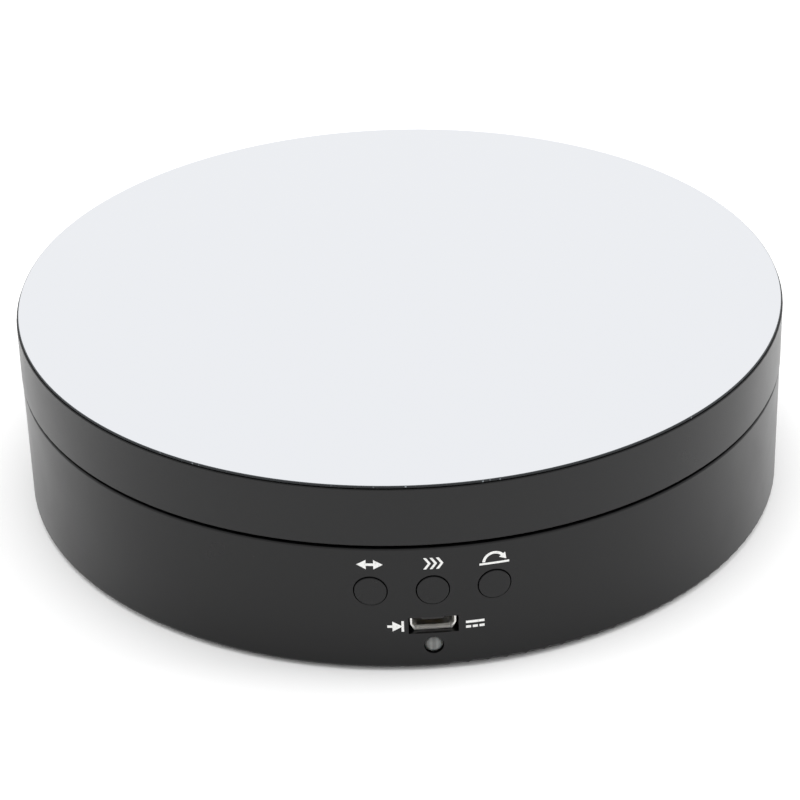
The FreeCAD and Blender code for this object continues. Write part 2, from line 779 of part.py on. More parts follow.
# ---------------------------------------------------------------- buttons and switches
def button_cap(x):
    """Cap whose face follows the base's curved wall, with a retaining flange and a stem to the switch."""
    body = rod_y(button_diameter / 2, -base_radius - 2, flange_back, x, button_z).common(
        disc(base_radius + button_proud, base_z, deck_top))
    flange = rod_y(button_flange_radius - 0.3, flange_front, flange_back, x, button_z)
    stem_end = switch_face - switch_plunger_reach
    stem = rod_y(switch_plunger_radius, flange_back - 0.2, stem_end, x, button_z)
    return joined([body, flange, stem])


def switch_plunger(x):
    """Actuator of a tactile switch, in line with its button."""
    tip = switch_face - switch_plunger_reach
    return joined([
        rod_y(switch_plunger_radius, tip, switch_face + 0.2, x, button_z),
        rod_y(switch_plunger_radius + 0.4, switch_face + 0.5, switch_face + 1.0, x, button_z),
        rod_y(switch_plunger_radius - 0.2, switch_face, switch_face + 0.8, x, button_z),
    ])


def switch_body_at(x):
    """Side-acting tactile switch: a square body that stands on the board on its two legs."""
    side, depth = switch_body
    half = side / 2
    y0, y1 = switch_face, switch_face + depth
    body = block(x - half, x + half, y0, y1, button_z - half, button_z + half)
    mouth = rod_y(switch_plunger_radius + 0.08, y0 - 1, y0 + 0.6, x, button_z)
    chamber = rod_y(switch_plunger_radius + 0.6, y0 + 0.4, y0 + 1.2 + button_travel, x, button_z)
    legs = [block(x + sx * half - 0.4, x + sx * half + 0.4, y0 + 0.6, y1 - 0.4, board_top, button_z)
            for sx in (-1, 1)]
    return less(joined([body] + legs), [mouth, chamber])


# ---------------------------------------------------------------- board and its parts
def header_places():
    """Centres of the motor's and the battery's lead headers, near the board's rear edge."""
    y = board_back - 4.6
    return (-4.0, y), (11.5, y)


def control_board():
    """Printed circuit board, with a tab that carries the charging socket's front."""
    width, tab_depth = board_tab
    body = block(-board_width / 2, board_width / 2, board_front, board_back, board_bottom, board_top)
    tab = block(-width / 2, width / 2, board_front - tab_depth, board_front + 1, board_bottom, board_top)
    board = joined([body, tab])
    board = round_edges(
        board, 1.0, lambda e: upright(e) and abs(abs(e.CenterOfMass.x) - board_width / 2) < 0.01)
    holes = [disc(board_screw[0] + screw_hole_clearance, board_bottom - 1, board_top + 1, x, y)
             for x, y in board_screw_places()]
    return less(board, holes)


def board_screws():
    return [screw(board_screw, x, y, board_bottom, 1) for x, y in board_screw_places()]


def socket_outline(inset):
    """Corners of the charging socket's D section, wide side up, seen from the front."""
    top, bottom, height, _ = socket_shell
    upper, lower = socket_z + height / 2 - inset, socket_z - height / 2 + inset
    a, b = top / 2 - inset, bottom / 2 - inset
    shoulder = socket_z - height * 0.12
    return [(-a, upper), (a, upper), (a, shoulder), (b, lower), (-b, lower), (-a, shoulder)]


def socket_block(inset, y0, y1):
    corners = [FreeCAD.Vector(x, y0, z) for x, z in socket_outline(inset)]
    return outline(corners, Y_AXIS, y1 - y0)


def socket_lips(inset, y0, y1):
    """Solid whose section narrows from the flared mouth to the shell's own section."""
    rings = []
    for grown, y in ((socket_flare, y0), (0.0, y1)):
        corners = [FreeCAD.Vector(x, y, z) for x, z in socket_outline(inset - grown)]
        rings.append(Part.makePolygon(corners + [corners[0]]))
    return Part.makeLoft(rings, True)


def socket_shell_part():
    """Folded steel shell of the charging socket, with a flared mouth."""
    front = -base_radius + socket_recess
    neck = front + socket_flare_depth
    back = front + socket_shell[3]
    tube = joined([socket_block(0.0, neck, back), socket_lips(0.0, front, neck)])
    hollow = [socket_block(socket_wall, neck - 0.01, back - socket_wall),
              socket_lips(socket_wall, front, neck)]
    return less(tube, hollow)


def socket_tongue():
    """Contact tongue inside the shell."""
    front = -base_radius + socket_recess + 0.7
    back = -base_radius + socket_recess + socket_shell[3] - socket_wall
    top = socket_z + socket_shell[2] / 2 - socket_wall
    half = socket_shell[0] / 2 - socket_wall
    tongue = block(-half * 0.56, half * 0.56, front, back - 0.8, top - 0.95, top - 0.3)
    root = socket_block(socket_wall, back - 0.9, back)
    return joined([tongue, root])


def charge_lamp():
    """Low-domed lamp that stands a little out of the wall, with a rim at its back."""
    r = lamp_diameter / 2
    tip = -base_radius - lamp_proud
    back = tip + lamp_length

    def on_dome(radius):
        rise = lamp_dome_radius - math.sqrt(lamp_dome_radius**2 - radius**2)
        return FreeCAD.Vector(radius, tip + rise, 0)

    dome = Part.Arc(on_dome(0.0), on_dome(r / 2), on_dome(r)).toShape()
    rest = [on_dome(r)] + [FreeCAD.Vector(a, b, 0) for a, b in (
        (r, back - 1.0), (r + 0.4, back - 1.0), (r + 0.4, back), (0, back))] + [on_dome(0.0)]
    sides = [Part.LineSegment(a, b).toShape() for a, b in zip(rest, rest[1:])]
    lamp = Part.Face(Part.Wire([dome] + sides)).revolve(ORIGIN, Y_AXIS, 360)
    lamp.translate(FreeCAD.Vector(0, 0, lamp_z))
    return lamp


def lamp_legs():
    """Two wires from the lamp's back up to the board."""
    back = -base_radius - lamp_proud + lamp_length
    turn_y = back + 2.4
    return [swept([FreeCAD.Vector(x, back, lamp_z), FreeCAD.Vector(x, turn_y, lamp_z),
                   FreeCAD.Vector(x, turn_y, board_bottom)], lamp_leg_radius)
            for x in (-lamp_leg_spacing / 2, lamp_leg_spacing / 2)]


def chip(x, y, length, width, height, pins, upper=True):
    """Small-outline chip with gull-wing legs on its two long sides."""
    surface, way = (board_top, 1) if upper else (board_bottom, -1)

    def span(a, b):
        return sorted((surface + way * a, surface + way * b))

    z0, z1 = span(0.1, height)
    parts = [block(x - length / 2, x + length / 2, y - width / 2, y + width / 2, z0, z1)]
    low, high = span(0.0, 0.25)
    mid0, mid1 = span(0.0, height * 0.55)
    for i in range(pins):
        px = x + (i - (pins - 1) / 2) * 1.27
        for side in (-1, 1):
            edge, toe = y + side * width / 2, y + side * (width / 2 + 1.1)
            y0, y1 = sorted((edge - side * 0.1, toe))
            parts.append(block(px - 0.2, px + 0.2, y0, y1, low, high))
            y0, y1 = sorted((edge - side * 0.1, edge + side * 0.4))
            parts.append(block(px - 0.2, px + 0.2, y0, y1, mid0, mid1))
    return joined(parts)


def storage_capacitor():
    """Upright electrolytic capacitor."""
    body = disc(2.5, board_top, board_top + 7.0, -15.5, board_front + 13.5)
    return round_edges(body, 0.5, circle_at(2.5, board_top + 7.0))


def header(place, ways):
    """Open-topped lead header on the board."""
    x, y = place
    half = ways * lead_pitch / 2 + 1.4
    body = block(x - half, x + half, y - 2.4, y + 2.4, board_top, board_top + 5.0)
    slot = block(x - half + 0.6, x + half - 0.6, y - 1.8, y + 1.8, board_top + 0.8, board_top + 6.0)
    return less(body, [slot])


def lead_plug(place, ways):
    """Plug housing pushed into a header."""
    x, y = place
    half = ways * lead_pitch / 2 + 0.75
    return block(x - half, x + half, y - 1.75, y + 1.75, board_top + 0.8, board_top + 6.0)


def motor_leads():
    """Five coil leads from the cap on the motor to the header's plug."""
    (x, y), _ = header_places()
    cap_front = lead_cap_front()
    low = stator_z + stator_height / 2
    top = board_top + 8.3
    room = cap_front - y
    leads = []
    for i in range(5):
        aside = (i - 2) * lead_pitch
        route = [
            FreeCAD.Vector(aside, cap_front, low),
            FreeCAD.Vector(aside, cap_front - room * 0.3, low),
            FreeCAD.Vector((aside + x + aside) / 2, cap_front - room * 0.5, top),
            FreeCAD.Vector(x + aside, y, top),
            FreeCAD.Vector(x + aside, y, board_top + 6.0),
        ]
        leads.append(swept(route, lead_radius))
    return leads


def battery_cell():
    """Flat pouch cell with rounded long edges."""
    length, width, height = cell_size
    cell = block(-length / 2, length / 2, cell_centre_y - width / 2, cell_centre_y + width / 2, cell_z,
                 cell_z + height)
    along = [e for e in cell.Edges if abs(e.BoundBox.XLength - length) < 1e-6]
    return cell.makeFillet(cell_edge_radius, along)


def battery_pad():
    """Foam tape that sticks the cell under the deck."""
    length, width, _ = cell_size
    margin = cell_edge_radius + 1.5
    return block(-length / 2 + margin, length / 2 - margin, cell_centre_y - width / 2 + margin,
                 cell_centre_y + width / 2 - margin, cell_z + cell_size[2], deck_bottom)


def protection_board():
    """The cell's small protection board at its end."""
    length, width, height = cell_size
    return block(length / 2, length / 2 + 1.2, cell_centre_y - width / 2 + 3, cell_centre_y + width / 2 - 3,
                 cell_z + 1.2, cell_z + height - 1.2)


def battery_leads():
    """Two leads from the protection board round the motor to the board's header."""
    _, (x, y) = header_places()
    start_x = cell_size[0] / 2 + 1.2
    z = cell_z + cell_size[2] / 2
    top = board_top + 8.0
    leads = []
    for i in range(2):
        aside = (i - 0.5) * lead_pitch
        bend_x = start_x + 5.0 - aside
        route = [
            FreeCAD.Vector(start_x, cell_centre_y - 9.0 - aside, z),
            FreeCAD.Vector(bend_x, cell_centre_y - 9.0 - aside, z),
            FreeCAD.Vector(bend_x + 0.5, cell_centre_y - 24.0, z - 1.0),
            FreeCAD.Vector(bend_x, 2.0, z - 1.5),
            FreeCAD.Vector(bend_x - 4.0, -14.0, z),
            FreeCAD.Vector((bend_x + x) / 2, (y - 14.0) / 2, top - 0.5),
            FreeCAD.Vector(x + aside, y, top),
            FreeCAD.Vector(x + aside, y, board_top + 6.0),
        ]
        leads.append(swept(route, lead_radius))
    return leads


# ---------------------------------------------------------------- build
def main():
    os.makedirs("parts", exist_ok=True)
    stages, post_a, post_b, _ = gear_layout()

    save("platter_tray", platter_tray())
    save("mirror_disc", mirror_disc())
    save("mirror_adhesive", mirror_adhesive())
    save("drive_hub", drive_hub())
    save("hub_screws", hub_screws())

    save("bearing_balls", bearing_balls())
    save("bearing_cage", bearing_cage())

    save("base_housing", base_housing())
    save("bottom_cover", bottom_cover())
    save("cover_screws", cover_screws())
    for number, (x, y) in enumerate(foot_places(), 1):
        save("rubber_foot_%d" % number, rubber_foot(x, y))

    save("motor_case", motor_case())
    save("motor_cover", motor_cover())
    save("motor_screws", motor_screws())
    save("motor_stator", motor_stator())
    save("motor_coils", motor_coils())
    save("motor_gear_plate", motor_gear_plate(post_a, post_b))
    save("motor_gear_posts", gear_posts(post_a, post_b))
    save("rotor_pin", rotor_pin())
    save("motor_rotor", motor_rotor(stages[0]))
    save("reduction_gear_1", compound_gear(stages[0], stages[1], 1, post_radius + running_clearance))
    save("reduction_gear_2", compound_gear(stages[1], stages[2], 2, small_post_radius + running_clearance))
    save("reduction_gear_3", compound_gear(stages[2], stages[3], 3, post_radius + running_clearance))
    save("output_gear_shaft", output_gear(stages[3]))
    save("motor_lead_cap", lead_cap())
    save("motor_leads", motor_leads())

    for name, x in zip(("direction", "speed", "angle"), button_xs):
        save("button_" + name, button_cap(x))
        save("switch_plunger_" + name, switch_plunger(x))
        save("switch_" + name, switch_body_at(x))

    save("control_board", control_board())
    save("board_screws", board_screws())
    save("charging_socket_shell", socket_shell_part())
    save("charging_socket_tongue", socket_tongue())
    save("charge_lamp", charge_lamp())
    save("charge_lamp_legs", lamp_legs())
    save("motor_driver_chip", chip(-3.0, board_front + 13.5, 10.0, 4.0, 1.6, 8))
    save("controller_chip", chip(10.5, board_front + 13.5, 8.8, 4.0, 1.6, 7))
    save("charger_chip", chip(9.0, board_front + 8.0, 5.0, 4.0, 1.6, 4, upper=False))
    save("storage_capacitor", storage_capacitor())
    motor_header, battery_header = header_places()
    save("motor_lead_header", header(motor_header, 5))
    save("motor_lead_plug", lead_plug(motor_header, 5))
    save("battery_lead_header", header(battery_header, 2))
    save("battery_lead_plug", lead_plug(battery_header, 2))

    save("battery_cell", battery_cell())
    save("battery_pad", battery_pad())
    save("battery_protection_board", protection_board())
    save("battery_leads", battery_leads())


main()
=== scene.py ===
import json
import math

import bmesh
import bpy
from bpy.props import FloatProperty, FloatVectorProperty, IntProperty, PointerProperty
from bpy.types import Operator, Panel, PropertyGroup
from mathutils import Matrix, Vector


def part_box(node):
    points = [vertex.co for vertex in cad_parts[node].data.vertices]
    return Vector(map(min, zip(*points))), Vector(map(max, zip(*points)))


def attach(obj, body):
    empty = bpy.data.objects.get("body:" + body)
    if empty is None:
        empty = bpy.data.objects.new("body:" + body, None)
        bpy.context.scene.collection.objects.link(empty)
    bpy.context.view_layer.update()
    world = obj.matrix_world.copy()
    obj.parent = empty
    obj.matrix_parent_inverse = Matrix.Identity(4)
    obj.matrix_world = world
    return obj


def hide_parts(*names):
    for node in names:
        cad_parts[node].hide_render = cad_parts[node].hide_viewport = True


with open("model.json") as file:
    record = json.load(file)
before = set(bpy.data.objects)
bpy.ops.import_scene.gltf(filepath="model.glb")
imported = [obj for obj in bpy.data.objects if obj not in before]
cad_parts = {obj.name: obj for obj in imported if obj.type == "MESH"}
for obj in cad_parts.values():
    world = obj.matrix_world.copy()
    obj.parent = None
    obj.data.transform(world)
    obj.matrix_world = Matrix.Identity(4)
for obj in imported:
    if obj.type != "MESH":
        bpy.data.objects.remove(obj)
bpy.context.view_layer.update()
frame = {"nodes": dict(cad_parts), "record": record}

bl_info = {
    "name": "Turntable Display Stand",
    "version": (1, 0, 0),
    "blender": (4, 5, 0),
    "location": "View3D > Sidebar > Stand",
    "description": "Builds the looks of a motorised mirror-topped turntable around its packed parts",
    "category": "Add Mesh",
}

MM = 0.001
SAME_POINT = 0.0001 * MM  # points closer than this are one
FUNCTIONS = ("direction", "speed", "angle")  # the three buttons, from left to right
DUST = (0.3, 0.3, 0.29, 1.0)


def srgb(hex_colour):
    """Linear RGBA of an sRGB hex colour such as #1a2b3c."""
    channels = [int(hex_colour[i:i + 2], 16) / 255 for i in (1, 3, 5)]
    return [c / 12.92 if c <= 0.04045 else ((c + 0.055) / 1.055) ** 2.4 for c in channels] + [1.0]


# ---------------------------------------------------------------- sizes and colours a user would change
class StandSizes(PropertyGroup):
    """Sizes of the pieces that are made here, in metres."""

    mirror_arris: FloatProperty(
        name="Mirror arris", description="Width of the fine slope round the mirror's face",
        default=0.12 * MM, min=0.05 * MM, max=0.2 * MM, subtype="DISTANCE", unit="LENGTH", precision=5)
    button_edge: FloatProperty(
        name="Button edge", description="Radius of the rounding round each button's face",
        default=0.15 * MM, min=0.05 * MM, max=0.8 * MM, subtype="DISTANCE", unit="LENGTH", precision=5)
    ink_thickness: FloatProperty(
        name="Ink thickness", description="How far the printed marks stand off the wall",
        default=0.02 * MM, min=0.005 * MM, max=0.1 * MM, subtype="DISTANCE", unit="LENGTH", precision=5)
    stroke: FloatProperty(
        name="Stroke", description="Stroke width of the printed marks",
        default=0.5 * MM, min=0.2 * MM, max=0.8 * MM, subtype="DISTANCE", unit="LENGTH", precision=5)
    contacts: IntProperty(
        name="Contacts", description="Number of contact fingers in the charging socket",
        default=5, min=2, max=9)


class StandColours(PropertyGroup):
    """Colours of the finishes, linear."""

    base_black: FloatVectorProperty(
        name="Base black", description="Moulded plastic of the base", subtype="COLOR", size=3,
        default=srgb("#0b0b0c")[:3], min=0, max=1)
    platter_black: FloatVectorProperty(
        name="Platter black", description="Moulded plastic of the platter", subtype="COLOR", size=3,
        default=srgb("#0e0e0f")[:3], min=0, max=1)
    mirror_tint: FloatVectorProperty(
        name="Mirror tint", description="What the mirror's silver gives back", subtype="COLOR", size=3,
        default=srgb("#f2f4f8")[:3], min=0, max=1)
    print_white: FloatVectorProperty(
        name="Print white", description="Ink of the printed marks", subtype="COLOR", size=3,
        default=srgb("#e6e6e4")[:3], min=0, max=1)


class StandStage(PropertyGroup):
    """Camera and light."""

    lens: FloatProperty(name="Lens", description="Focal length on a 36 mm sensor, in millimetres",
                        default=126.85, min=20, max=300)
    distance: FloatProperty(name="Distance", description="From the turning axis at the floor to the camera",
                            default=0.55893, min=0.2, max=3, subtype="DISTANCE", unit="LENGTH")
    elevation: FloatProperty(name="Elevation", description="Height angle of the camera above the floor",
                             default=math.radians(31.026), subtype="ANGLE", unit="ROTATION")
    azimuth: FloatProperty(name="Azimuth", description="Turn of the camera round the stand, from the front",
                           default=math.radians(-3.45), subtype="ANGLE", unit="ROTATION")
    pitch: FloatProperty(name="Pitch", description="How far the camera looks down",
                         default=math.radians(29.909), subtype="ANGLE", unit="ROTATION")
    yaw: FloatProperty(name="Yaw", description="Turn of the camera off the axis",
                       default=math.radians(-0.0506), subtype="ANGLE", unit="ROTATION")
    roll: FloatProperty(name="Roll", description="Tilt of the camera about its own line of sight",
                        default=math.radians(-1.654), subtype="ANGLE", unit="ROTATION")
    sky: FloatProperty(name="Sky", description="Strength of the even studio light",
                       default=0.94, min=0, max=5)
    key: FloatProperty(name="Key", description="Power of the overhead soft box, in watts",
                       default=9.0, min=0)
    fill: FloatProperty(name="Fill", description="Power of the soft box on the right, in watts",
                        default=7.5, min=0)
    rim: FloatProperty(name="Rim", description="Power of the soft box on the left, in watts",
                       default=2.5, min=0)


# ---------------------------------------------------------------- node and material helpers
def add_node(tree, kind, settings=None, values=None, links=None, to=None):
    """Add a node with its attributes, the values of its unlinked inputs and the sockets that feed it.

    to is a pair: the name of one of its outputs, and the socket that this output feeds.
    """
    node = tree.nodes.new(kind)
    for name, value in (settings or {}).items():
        setattr(node, name, value)
    for name, value in (values or {}).items():
        node.inputs[name].default_value = value
    for name, socket in (links or {}).items():
        tree.links.new(socket, node.inputs[name])
    if to:
        tree.links.new(node.outputs[to[0]], to[1])
    return node


def start_material(name, colour, values):
    """Material with one principled shader, with its tree, its shader and Object coordinates in metres."""
    material = bpy.data.materials.new(name)
    material.use_nodes = True
    material.diffuse_color = solid(colour)
    tree = material.node_tree
    shader = tree.nodes["Principled BSDF"]
    shader.inputs["Base Color"].default_value = solid(colour)
    for socket, value in values.items():
        shader.inputs[socket].default_value = value
    place = add_node(tree, "ShaderNodeTexCoord").outputs["Object"]
    return material, tree, shader, place


def solid(colour, factor=1.0):
    """Opaque RGBA of a colour made darker or lighter."""
    return [min(1.0, c * factor) for c in colour[:3]] + [1.0]


def wave_scale(pitch_mm):
    """Scale of a wave texture whose bands are pitch_mm apart."""
    return 2 * math.pi / (20 * pitch_mm * MM)


def moulded(name, colour, roughness, ior=1.5, specular=0.5, grain_mm=0.35, grain=0.25, coat=0.0):
    """Moulded plastic or rubber: a spark-eroded mould leaves a fine even grain, which breaks up the gloss.

    The real grain is about 0.05 mm and too fine to show, so it is drawn coarser. Slow patches of slightly
    other roughness are the flow marks of a large plain wall, and the odd faint speck is dust.
    """
    material, tree, shader, place = start_material(
        name, colour, {"IOR": ior, "Specular IOR Level": specular, "Coat Weight": coat})
    flow = add_node(tree, "ShaderNodeTexNoise", None, {"Scale": 1 / (16 * MM), "Detail": 3.0},
                    {"Vector": place})
    add_node(tree, "ShaderNodeMapRange", None,
             {"From Min": 0.3, "From Max": 0.7, "To Min": roughness * 0.9, "To Max": roughness * 1.1},
             {"Value": flow.outputs["Fac"]}, ("Result", shader.inputs["Roughness"]))
    specks = add_node(tree, "ShaderNodeTexVoronoi", None, {"Scale": 1 / (7 * MM)}, {"Vector": place})
    near = add_node(tree, "ShaderNodeMapRange", None,
                    {"From Min": 0.006, "From Max": 0.016, "To Min": 0.12, "To Max": 0.0},
                    {"Value": specks.outputs["Distance"]})
    add_node(tree, "ShaderNodeMix", {"data_type": "RGBA"}, {6: solid(colour), 7: DUST},
             {0: near.outputs["Result"]}, (2, shader.inputs["Base Color"]))
    fine = add_node(tree, "ShaderNodeTexNoise", None, {"Scale": 1 / (grain_mm * MM), "Detail": 3.0},
                    {"Vector": place})
    add_node(tree, "ShaderNodeBump", None, {"Strength": grain, "Distance": 0.02 * MM},
             {"Height": fine.outputs["Fac"]}, ("Normal", shader.inputs["Normal"]))
    return material


def worked_metal(name, colour, roughness, lines_mm=0.12, stretch=(1.0, 1.0, 1.0), grain=0.08, stain=0.08):
    """Metal with the fine lines of drawing, turning or folding, and faint stains where it was handled."""
    material, tree, shader, place = start_material(name, colour, {"Metallic": 1.0})
    stains = add_node(tree, "ShaderNodeTexNoise", None, {"Scale": 1 / (4 * MM), "Detail": 3.0},
                      {"Vector": place})
    add_node(tree, "ShaderNodeMapRange", None,
             {"From Min": 0.3, "From Max": 0.7, "To Min": roughness - stain, "To Max": roughness + stain},
             {"Value": stains.outputs["Fac"]}, ("Result", shader.inputs["Roughness"]))
    dull = add_node(tree, "ShaderNodeMapRange", None, {"From Min": 0.35, "From Max": 0.75},
                    {"Value": stains.outputs["Fac"]})
    add_node(tree, "ShaderNodeMix", {"data_type": "RGBA"}, {6: solid(colour), 7: solid(colour, 0.82)},
             {0: dull.outputs["Result"]}, (2, shader.inputs["Base Color"]))
    along = add_node(tree, "ShaderNodeMapping", None, {"Scale": stretch}, {"Vector": place})
    lines = add_node(tree, "ShaderNodeTexNoise", None, {"Scale": 1 / (lines_mm * MM)},
                     {"Vector": along.outputs["Vector"]})
    add_node(tree, "ShaderNodeBump", None, {"Strength": grain, "Distance": 0.01 * MM},
             {"Height": lines.outputs["Fac"]}, ("Normal", shader.inputs["Normal"]))
    return material


def silvered_glass(colour):
    """Back-silvered float glass: a near perfect, faintly cool reflection, with very thin wiping marks."""
    material, tree, shader, place = start_material("silvered_float_glass", colour, {"Metallic": 1.0})
    wipe = add_node(tree, "ShaderNodeMapping", None, {"Scale": (0.2, 1.0, 1.0), "Rotation": (0, 0, 0.6)},
                    {"Vector": place})
    film = add_node(tree, "ShaderNodeTexNoise", None, {"Scale": 1 / (9 * MM), "Detail": 4.0},
                    {"Vector": wipe.outputs["Vector"]})
    add_node(tree, "ShaderNodeMapRange", None,
             {"From Min": 0.35, "From Max": 0.75, "To Min": 0.012, "To Max": 0.035},
             {"Value": film.outputs["Fac"]}, ("Result", shader.inputs["Roughness"]))
    return material


def ground_edge():
    """Ground rim of the mirror: near black and dull where it shows the backing, with a few bright chips."""
    dark = srgb("#292b2d")
    material, tree, shader, place = start_material(
        "ground_mirror_edge", dark, {"IOR": 1.5, "Specular IOR Level": 0.2})
    chips = add_node(tree, "ShaderNodeTexVoronoi", None, {"Scale": 1 / (0.6 * MM)}, {"Vector": place})
    lot = add_node(tree, "ShaderNodeSeparateColor", None, None, {"Color": chips.outputs["Color"]})
    chosen = add_node(tree, "ShaderNodeMapRange", None, {"From Min": 0.88, "From Max": 0.99},
                      {"Value": lot.outputs["Red"]})
    near = add_node(tree, "ShaderNodeMapRange", None,
                    {"From Min": 0.1, "From Max": 0.36, "To Min": 1.0, "To Max": 0.0},
                    {"Value": chips.outputs["Distance"]})
    chip = add_node(tree, "ShaderNodeMath", {"operation": "MULTIPLY"}, None,
                    {0: chosen.outputs["Result"], 1: near.outputs["Result"]})
    add_node(tree, "ShaderNodeMix", {"data_type": "RGBA"}, {6: dark, 7: srgb("#9aa1a6")},
             {0: chip.outputs["Value"]}, (2, shader.inputs["Base Color"]))
    add_node(tree, "ShaderNodeMapRange", None, {"To Min": 0.6, "To Max": 0.2},
             {"Value": chip.outputs["Value"]}, ("Result", shader.inputs["Roughness"]))
    grit = add_node(tree, "ShaderNodeTexNoise", None, {"Scale": 1 / (0.25 * MM), "Detail": 4.0},
                    {"Vector": place})
    add_node(tree, "ShaderNodeBump", None, {"Strength": 0.3, "Distance": 0.03 * MM},
             {"Height": grit.outputs["Fac"]}, ("Normal", shader.inputs["Normal"]))
    return material


def polished_arris():
    """The fine slope between the mirror's face and its rim: a thin grey line, not quite even."""
    grey = srgb("#5d6163")
    material, tree, shader, place = start_material("polished_glass_arris", grey, {"Metallic": 1.0})
    uneven = add_node(tree, "ShaderNodeTexNoise", None, {"Scale": 1 / (0.6 * MM), "Detail": 3.0},
                      {"Vector": place})
    add_node(tree, "ShaderNodeMix", {"data_type": "RGBA"}, {6: solid(grey, 0.7), 7: solid(grey, 1.2)},
             {0: uneven.outputs["Fac"]}, (2, shader.inputs["Base Color"]))
    add_node(tree, "ShaderNodeMapRange", None, {"To Min": 0.15, "To Max": 0.4},
             {"Value": uneven.outputs["Fac"]}, ("Result", shader.inputs["Roughness"]))
    return material


def printed_ink(colour):
    """Pad-printed ink: flat and chalky, thinner in places so that the black below greys it a little."""
    material, tree, shader, place = start_material("pad_printed_ink", colour, {"IOR": 1.48})
    thin = add_node(tree, "ShaderNodeTexNoise", None, {"Scale": 1 / (0.45 * MM), "Detail": 4.0},
                    {"Vector": place})
    gaps = add_node(tree, "ShaderNodeMapRange", None, {"From Min": 0.52, "From Max": 0.75, "To Max": 0.4},
                    {"Value": thin.outputs["Fac"]})
    add_node(tree, "ShaderNodeMix", {"data_type": "RGBA"}, {6: solid(colour), 7: srgb("#6a6a69")},
             {0: gaps.outputs["Result"]}, (2, shader.inputs["Base Color"]))
    add_node(tree, "ShaderNodeMapRange", None, {"To Min": 0.55, "To Max": 0.75},
             {"Value": thin.outputs["Fac"]}, ("Result", shader.inputs["Roughness"]))
    add_node(tree, "ShaderNodeBump", None, {"Strength": 0.2, "Distance": 0.01 * MM},
             {"Height": thin.outputs["Fac"]}, ("Normal", shader.inputs["Normal"]))
    return material


def lamp_epoxy():
    """Clear-grey epoxy lamp: glossy, with two paler vertical bands that are painted highlights, and that also
    stand for the lead frame showing through.
    """
    grey = srgb("#4d4e4d")
    material, tree, shader, place = start_material("cast_epoxy_lamp", grey, {
        "IOR": 1.52, "Roughness": 0.14, "Subsurface Weight": 0.1, "Subsurface Scale": 0.4 * MM,
        "Coat Weight": 0.3})
    lead_frame_and_highlight_bands = add_node(tree, "ShaderNodeTexWave", {"bands_direction": "X"},
                      {"Scale": wave_scale(1.1), "Distortion": 0.5, "Detail": 1.0}, {"Vector": place})
    lead_frame_and_highlight_mask = add_node(tree, "ShaderNodeMapRange", None, {"From Min": 0.3, "From Max": 1.0},
                       {"Value": lead_frame_and_highlight_bands.outputs["Fac"]})
    # painted highlight: two paler vertical bands, which also stand for the lead frame seen through the epoxy
    add_node(tree, "ShaderNodeMix", {"data_type": "RGBA"}, {6: solid(grey, 1.4), 7: solid(grey, 2.1)},
             {0: lead_frame_and_highlight_mask.outputs["Result"]}, (2, shader.inputs["Base Color"]))
    return material


def wound_copper():
    """Enamelled copper wire, amber from the enamel. Its windings are drawn wider apart, so that they show,
    and the grooves between them are painted darker, as painted shade.
    """
    amber = srgb("#b8673a")
    material, tree, shader, place = start_material(
        "enamelled_copper_wire", amber, {"Metallic": 1.0, "Coat Weight": 0.6, "Coat Roughness": 0.1})
    turns_and_groove_shade = add_node(tree, "ShaderNodeTexWave", {"bands_direction": "Z"},
                     {"Scale": wave_scale(0.35), "Distortion": 0.6, "Detail": 1.0}, {"Vector": place})
    # painted shade: the grooves between the windings are painted a darker amber
    add_node(tree, "ShaderNodeMix", {"data_type": "RGBA"}, {6: solid(amber, 0.45), 7: amber},
             {0: turns_and_groove_shade.outputs["Fac"]}, (2, shader.inputs["Base Color"]))
    add_node(tree, "ShaderNodeMapRange", None, {"To Min": 0.5, "To Max": 0.25},
             {"Value": turns_and_groove_shade.outputs["Fac"]}, ("Result", shader.inputs["Roughness"]))
    add_node(tree, "ShaderNodeBump", None, {"Strength": 0.8, "Distance": 0.08 * MM},
             {"Height": turns_and_groove_shade.outputs["Fac"]}, ("Normal", shader.inputs["Normal"]))
    return material


def solder_resist():
    """Circuit board: glossy green resist over copper, whose tracks stand up and show as a paler green."""
    dark = srgb("#0d4a2a")
    material, tree, shader, place = start_material("green_solder_resist", dark, {"IOR": 1.55})
    tracks = add_node(tree, "ShaderNodeTexBrick", {"offset": 0.37},
                      {"Scale": 1.0, "Mortar Size": 0.28 * MM, "Mortar Smooth": 0.1, "Brick Width": 5.2 * MM,
                       "Row Height": 1.7 * MM, "Color1": dark, "Color2": dark, "Mortar": srgb("#1f7244")},
                      {"Vector": place}, ("Color", shader.inputs["Base Color"]))
    flux = add_node(tree, "ShaderNodeTexNoise", None, {"Scale": 1 / (5 * MM), "Detail": 3.0},
                    {"Vector": place})
    add_node(tree, "ShaderNodeMapRange", None, {"To Min": 0.2, "To Max": 0.42},
             {"Value": flux.outputs["Fac"]}, ("Result", shader.inputs["Roughness"]))
    add_node(tree, "ShaderNodeBump", None, {"Strength": 0.4, "Distance": 0.03 * MM},
             {"Height": tracks.outputs["Fac"]}, ("Normal", shader.inputs["Normal"]))
    return material


